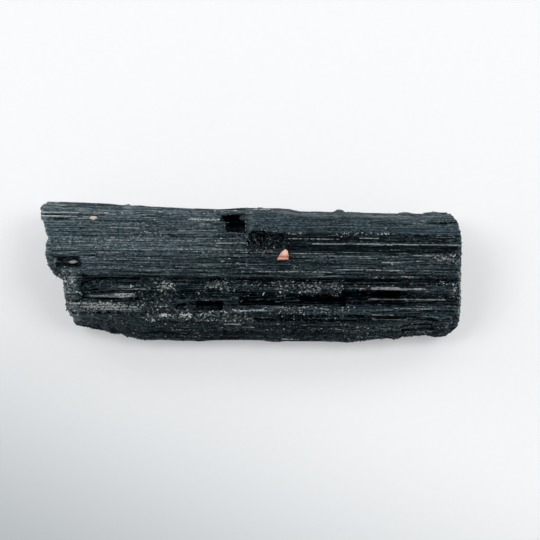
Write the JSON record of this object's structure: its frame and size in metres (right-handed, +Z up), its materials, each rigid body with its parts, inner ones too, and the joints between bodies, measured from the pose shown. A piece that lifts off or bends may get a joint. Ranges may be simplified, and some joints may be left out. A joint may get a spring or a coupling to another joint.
{
  "type": "black tourmaline crystal",
  "caption": "Rough black tourmaline crystal log, ribbed and stepped along its length with broken ends, lying flat, with small pink feldspar grains set in its top.",
  "frame": {"origin": "middle of the bounding box, on the surface that the crystal lies on", "axes": "+X along the crystal towards its square end, +Y towards the back edge with the raised slab, +Z up"},
  "size_m": [0.1006, 0.0336, 0.0241],
  "materials": {
    "tourmaline": "satin, ribbed along its length",
    "salmon_feldspar": "matt, broken",
    "pale_feldspar": "matt, broken"
  },
  "bodies": {
    "root": {"crystal": "tourmaline", "feldspar_chip": "salmon_feldspar", "feldspar_sliver": "pale_feldspar", "feldspar_speck": "pale_feldspar"}
  },
  "joints": []
}
